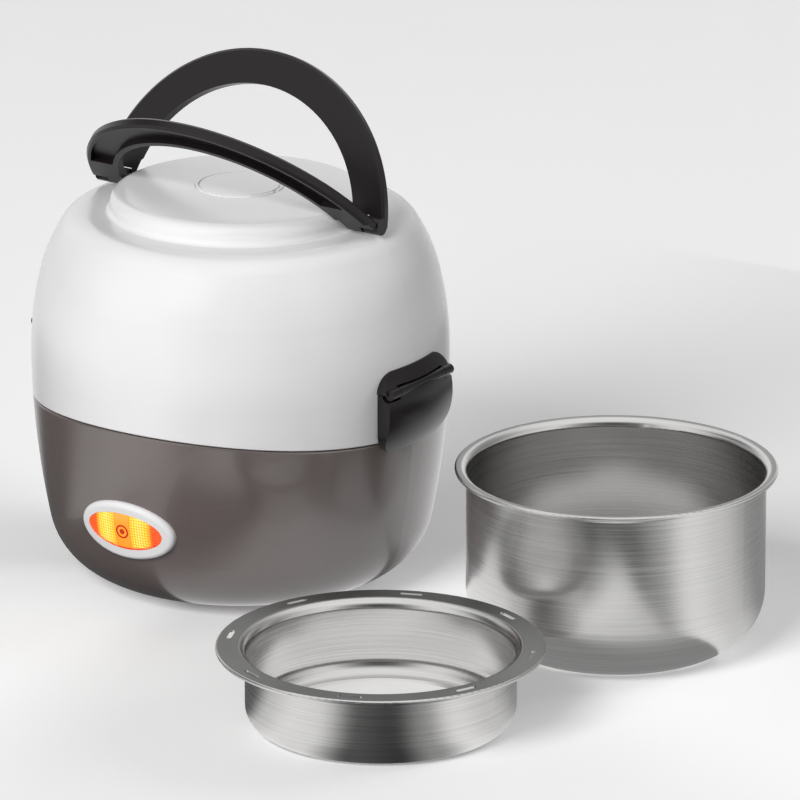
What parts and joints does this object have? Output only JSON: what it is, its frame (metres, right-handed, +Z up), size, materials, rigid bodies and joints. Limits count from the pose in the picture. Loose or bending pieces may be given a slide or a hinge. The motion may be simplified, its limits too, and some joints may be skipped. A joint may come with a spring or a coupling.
{
  "type": "mini rice cooker",
  "caption": "Small round rice cooker with a lift-off lid held by side clips, folding bail handles, an oval indicator, an inner pot and a steam dish.",
  "frame": {"origin": "on the floor under the cooker's own axis", "axes": "+Z up along the cooker's axis, the indicator faces -Y, the power inlet faces +Y, the side clips stand at -X and +X, the pot stands towards +X"},
  "size_m": [0.3499, 0.2857, 0.2267],
  "materials": {
    "white_plastic": "moulded gloss",
    "taupe_plastic": "moulded satin gloss",
    "dark_plastic": "moulded satin",
    "black_plastic": "moulded matte",
    "black_rubber": "matte",
    "clear_silicone": "translucent",
    "pressed_steel": "brushed and polished",
    "screw_steel": "bright zinc plated",
    "liner_aluminium": "spun",
    "cast_aluminium": "machined casting",
    "heater_ceramic": "fired",
    "amber_lens": "clear amber moulding",
    "lamp_glass": "clear",
    "contact_brass": "nickel plated"
  },
  "bodies": {
    "base": {"base_shell": "taupe_plastic", "bottom_cover": "black_plastic", "bottom_screws": "screw_steel", "foot_ring": "black_rubber", "deck_ring": "black_plastic", "inner_liner": "liner_aluminium", "liner_gasket": "clear_silicone", "heating_plate": "cast_aluminium", "ptc_heater": "heater_ceramic", "heater_clamp": "screw_steel", "thermostat": "black_plastic", "thermal_fuse": "heater_ceramic", "indicator_bezel": "white_plastic", "indicator_lens": "amber_lens", "lamp_holder": "black_plastic", "signal_lamps": "lamp_glass", "power_inlet": "black_plastic", "inlet_pins": "contact_brass"},
    "lid": {"lid_shell": "white_plastic", "vent_cap": "white_plastic", "steam_tube": "clear_silicone", "lid_inner_cover": "pressed_steel", "lid_seal": "clear_silicone", "lid_screws": "screw_steel", "handle_pins": "screw_steel", "left_clip_bracket": "dark_plastic", "right_clip_bracket": "dark_plastic", "clip_pins": "screw_steel"},
    "front_bail": {"front_handle": "dark_plastic"},
    "rear_bail": {"rear_handle": "dark_plastic"},
    "left_flap": {"left_clip": "dark_plastic"},
    "right_flap": {"right_clip": "dark_plastic"},
    "pot": {"inner_pot": "pressed_steel"},
    "dish": {"steam_dish": "pressed_steel"}
  },
  "joints": [
    {"name": "lid_lift", "type": "slide", "parent": "base", "child": "lid", "axis": [0, 0, 1], "range_m": [0, 0.12]},
    {"name": "front_handle_fold", "type": "hinge", "parent": "lid", "child": "front_bail", "pos_m": [0, 0, 0.166], "axis": [1, 0, 0], "range_deg": [-44.8, 24.2]},
    {"name": "rear_handle_fold", "type": "hinge", "parent": "lid", "child": "rear_bail", "pos_m": [0, 0, 0.166], "axis": [1, 0, 0], "range_deg": [-49.2, 19.8]},
    {"name": "left_clip_open", "type": "hinge", "parent": "lid", "child": "left_flap", "pos_m": [-0.09265, 0, 0.1005], "axis": [0, 1, 0], "range_deg": [0, 55]},
    {"name": "right_clip_open", "type": "hinge", "parent": "lid", "child": "right_flap", "pos_m": [0.09265, 0, 0.1005], "axis": [0, -1, 0], "range_deg": [0, 55]},
    {"name": "pot_lift", "type": "slide", "parent": "base", "child": "pot", "axis": [0, 0, 1], "range_m": [0, 0.12]},
    {"name": "dish_lift", "type": "slide", "parent": "base", "child": "dish", "axis": [0, 0, 1], "range_m": [0, 0.08]}
  ]
}
